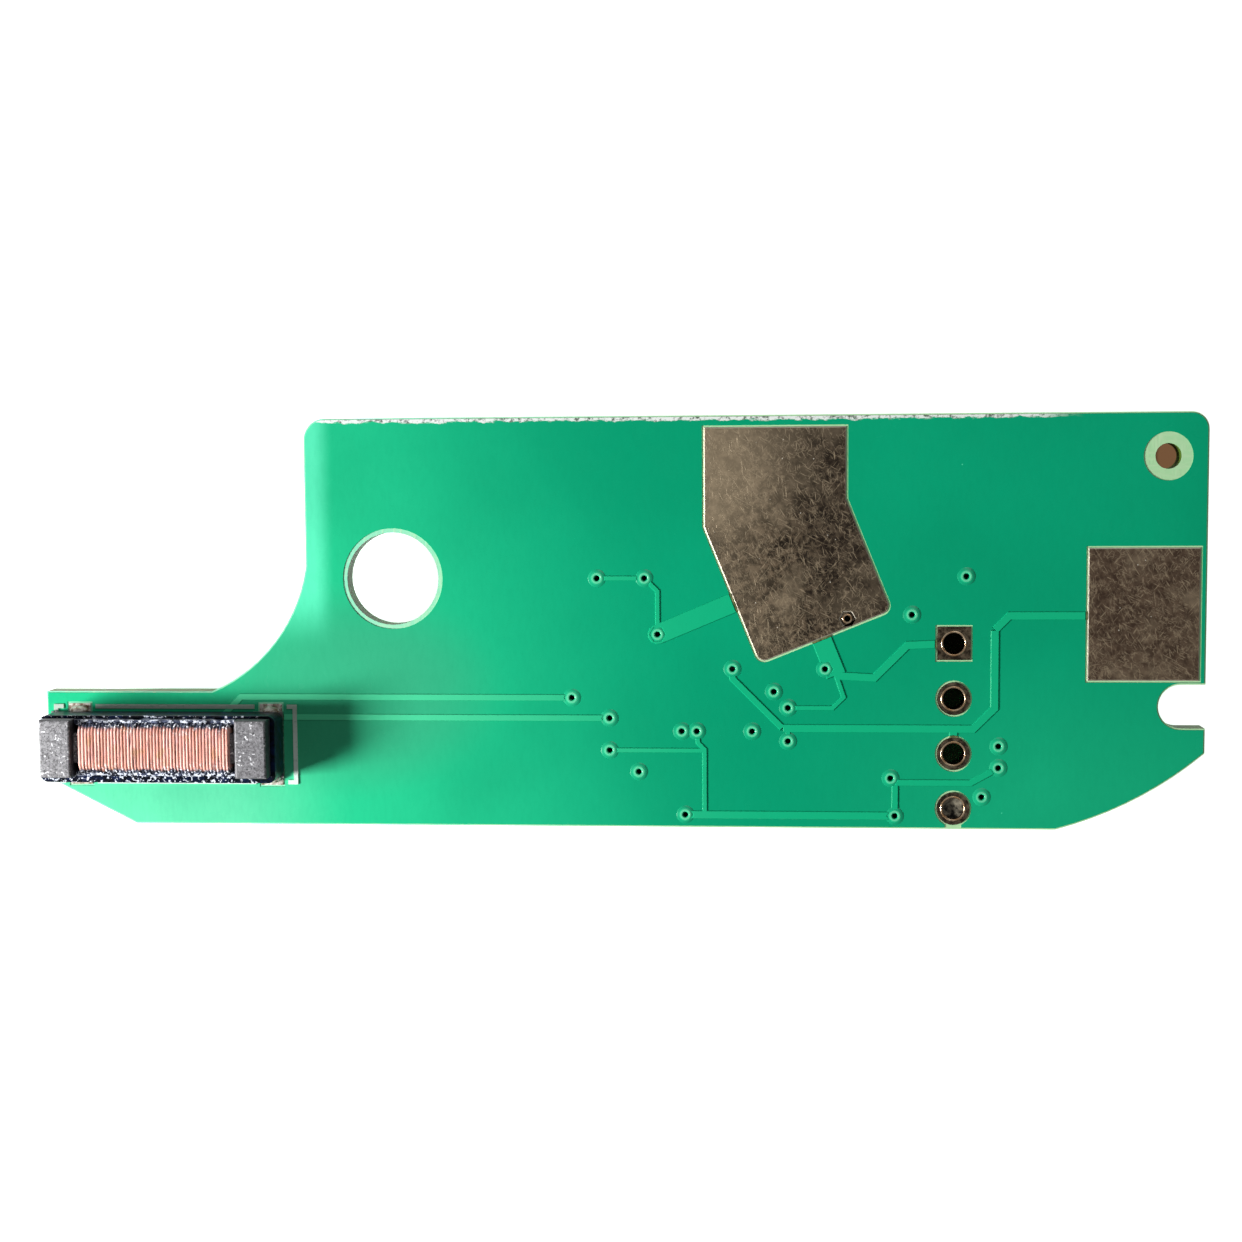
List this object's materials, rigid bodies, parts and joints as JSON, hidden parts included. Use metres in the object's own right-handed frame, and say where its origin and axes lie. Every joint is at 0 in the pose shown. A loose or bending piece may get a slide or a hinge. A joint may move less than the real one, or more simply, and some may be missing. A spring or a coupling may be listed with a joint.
{
  "type": "car key circuit board",
  "caption": "Drilled circuit board of a folding car key: battery contact pads and a low-frequency coil on one face, push switches and a controller chip on the other",
  "frame": {"origin": "below the middle of the board, on the surface that the three switch plungers stand on", "axes": "+X along the board from the coil to the edge battery pad, +Y from the programming holes to the straight long edge, +Z out of the battery pad side"},
  "size_m": [0.0538, 0.019, 0.0058],
  "materials": {
    "laminate": "bare glass-epoxy laminate",
    "solder_mask": "green glossy solder mask",
    "tracks": "copper tracks seen through green mask",
    "contact_plating": "thin tin or nickel plating, tarnished and scuffed",
    "hole_plating": "plated copper",
    "solder": "solder, slightly grainy",
    "legend": "white printed legend",
    "coil_tray": "dark blue-black lacquered plastic",
    "ferrite": "speckled grey ferrite",
    "coil_wire": "enamelled copper wire",
    "switch_case": "black moulded plastic",
    "switch_metal": "stainless sheet",
    "plunger_plastic": "black moulded plastic",
    "chip_case": "black moulding compound",
    "ceramic_tan": "tan capacitor ceramic",
    "ceramic_white": "white alumina",
    "resistor_film": "black glazed film"
  },
  "bodies": {
    "board": {"laminate": "laminate", "mask_pad_side": "solder_mask", "mask_button_side": "solder_mask", "tracks_pad_side": "tracks", "tracks_button_side": "tracks", "battery_pad_angled": "contact_plating", "battery_pad_edge": "contact_plating", "coil_lands": "solder", "component_lands": "solder", "program_hole_square": "hole_plating", "program_holes_round": "hole_plating", "via_barrels": "hole_plating", "solder_plug": "solder", "legend_pad_side": "legend", "legend_button_side": "legend", "coil_base": "coil_tray", "coil_core": "ferrite", "coil_winding": "coil_wire", "coil_terminals": "solder", "chip_body": "chip_case", "chip_leads": "solder", "crystal_base": "ceramic_white", "crystal_lid": "switch_metal", "capacitor_bodies": "ceramic_tan", "capacitor_ends": "solder", "resistor_bodies": "ceramic_white", "resistor_ends": "solder", "resistor_films": "resistor_film", "inductor_bodies": "ceramic_white", "inductor_ends": "solder", "inductor_windings": "coil_wire", "transistor_body": "chip_case", "transistor_leads": "solder", "switch_1_base": "switch_case", "switch_1_cover": "switch_metal", "switch_1_terminals": "solder", "switch_1_dome": "switch_metal", "switch_2_base": "switch_case", "switch_2_cover": "switch_metal", "switch_2_terminals": "solder", "switch_2_dome": "switch_metal", "switch_3_base": "switch_case", "switch_3_cover": "switch_metal", "switch_3_terminals": "solder", "switch_3_dome": "switch_metal"},
    "plunger_1": {"switch_1_plunger": "plunger_plastic"},
    "plunger_2": {"switch_2_plunger": "plunger_plastic"},
    "plunger_3": {"switch_3_plunger": "plunger_plastic"}
  },
  "joints": [
    {"name": "press_1", "type": "slide", "parent": "board", "child": "plunger_1", "axis": [0, 0, 1], "range_m": [0, 0.00025], "stiffness_N_per_m": 5000, "springref_m": -0.0001, "deforming": ["switch_1_dome"]},
    {"name": "press_2", "type": "slide", "parent": "board", "child": "plunger_2", "axis": [0, 0, 1], "range_m": [0, 0.00025], "stiffness_N_per_m": 5000, "springref_m": -0.0001, "deforming": ["switch_2_dome"]},
    {"name": "press_3", "type": "slide", "parent": "board", "child": "plunger_3", "axis": [0, 0, 1], "range_m": [0, 0.00025], "stiffness_N_per_m": 5000, "springref_m": -0.0001, "deforming": ["switch_3_dome"]}
  ]
}
